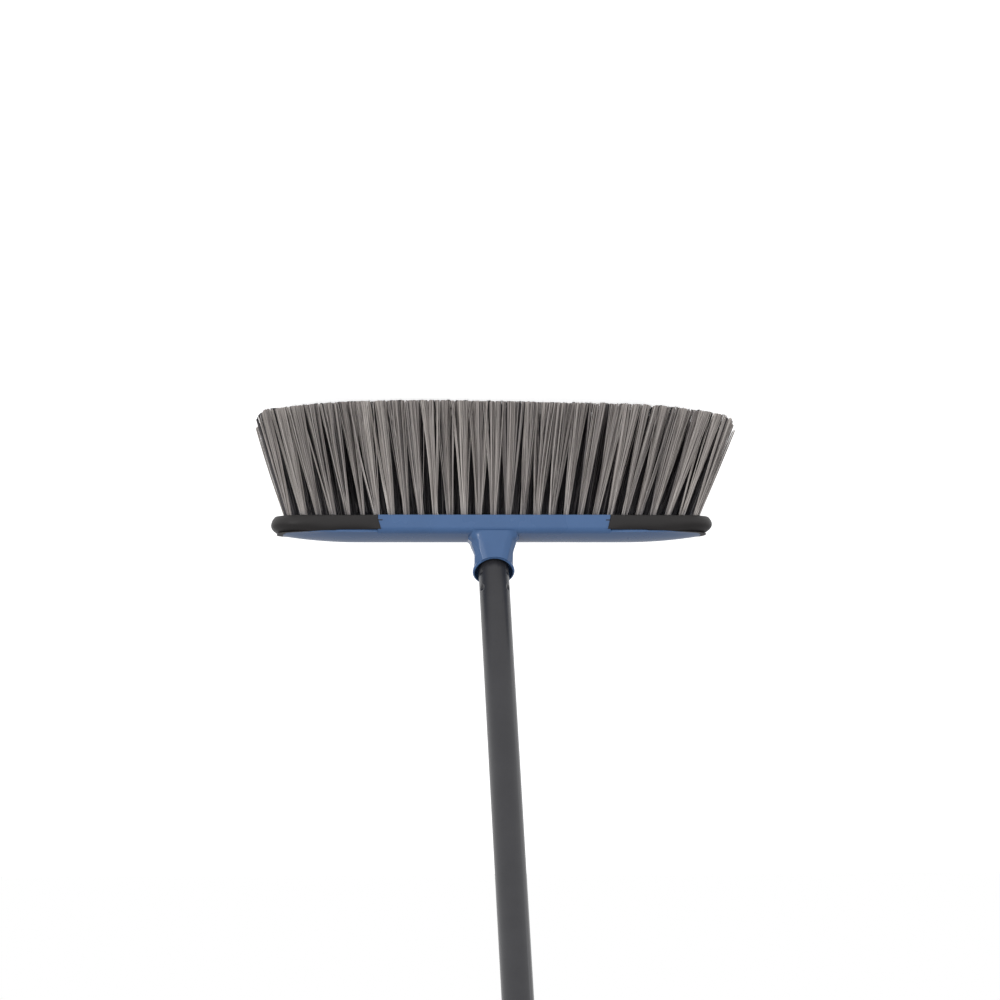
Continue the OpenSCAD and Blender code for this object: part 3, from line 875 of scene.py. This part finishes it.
make_head()
make_bumper(1, "bumper_right_soft", "right_bumper")
make_bumper(-1, "bumper_left_soft", "left_bumper")
for row, seed in zip(range(-2, 3), (11, 23, 37, 41, 59)):
    outer = abs(row) == 2
    make_row(row, "bristles_" + ROWS[row + 2], 92 if outer else 88, pale_filament if outer else dark_filament,
             "light_bristle" if outer else "dark_bristle", seed)
make_tube()
make_insert()
make_end_plug()
make_hang_loop()
wire = galvanised_wire()
for label in ROWS:
    anchor = frame["nodes"]["anchors_" + label]
    anchor.data.materials.clear()
    anchor.data.materials.append(wire)


# ---- floor, light and camera ----
def make_floor():
    clear()
    bpy.ops.mesh.primitive_plane_add(size=60, location=(0, 0, -0.0005))
    floor = added("floor")
    made, tree, shader = new_material("matt_white_floor", Roughness=0.9, Base_Color=linear("#c4c4c4"))
    shader.inputs["Emission Color"].default_value = (1, 1, 1, 1)
    shader.inputs["Emission Strength"].default_value = 0.95
    floor.data.materials.append(made)


def make_sky():
    """White all round, dimmer overhead, so that the head's top is a shade darker than its front."""
    world = bpy.data.worlds.new("studio")
    bpy.context.scene.world = world
    world.use_nodes = True
    tree = world.node_tree
    ground = tree.nodes["Background"]
    way = node(tree, "ShaderNodeTexCoord").outputs["Generated"]
    apart = node(tree, "ShaderNodeSeparateXYZ", [("Vector", way)])
    ramp = node(tree, "ShaderNodeValToRGB", [("Fac", apart.outputs["Z"])])
    ramp.color_ramp.elements[0].position, ramp.color_ramp.elements[1].position = 0.05, 0.22
    ramp.color_ramp.elements[0].color, ramp.color_ramp.elements[1].color = (1, 1, 1, 1), (0.5, 0.5, 0.51, 1)
    tree.links.new(ramp.outputs["Color"], ground.inputs["Color"])
    ground.inputs["Strength"].default_value = 1.0


def make_lamp(name, place, target, size, power):
    data = bpy.data.lights.new(name, "AREA")
    data.shape, data.size, data.energy = "DISK", size, power
    lamp = bpy.data.objects.new(name, data)
    bpy.context.scene.collection.objects.link(lamp)
    lamp.location = place
    lamp.rotation_euler = (Vector(target) - Vector(place)).to_track_quat("-Z", "Y").to_euler()


def make_camera():
    """Level with the head's front, a little above it and upside down: the broom is held bristles up."""
    azimuth, elevation, distance = math.radians(4.32), math.radians(5.3), 3.324
    target = Vector((-0.004, -0.029, 0.0744))
    back = Vector((math.sin(azimuth) * math.cos(elevation), -math.cos(azimuth) * math.cos(elevation),
                   math.sin(elevation)))
    data = bpy.data.cameras.new("camera")
    data.sensor_width, data.lens = 36, 165.6
    camera = bpy.data.objects.new("camera", data)
    bpy.context.scene.collection.objects.link(camera)
    camera.location = target + back * distance
    turn = (-back).to_track_quat("-Z", "Y").to_matrix().to_4x4()
    roll = Matrix.Rotation(math.radians(180 - 0.35), 4, "Z")
    camera.rotation_euler = (turn @ roll).to_euler()
    data.clip_start, data.clip_end = 0.05, 100
    bpy.context.scene.camera = camera


bpy.context.scene.view_settings.view_transform = "Standard"
make_floor()
make_sky()
make_lamp("front_lamp", (0.9, -2.2, 0.35), (0, 0, 0.08), 0.9, 2)
make_lamp("glint_lamp", (1.5, -1.9, 0.5), (0, -0.03, 0.1), 0.16, 11)
make_camera()
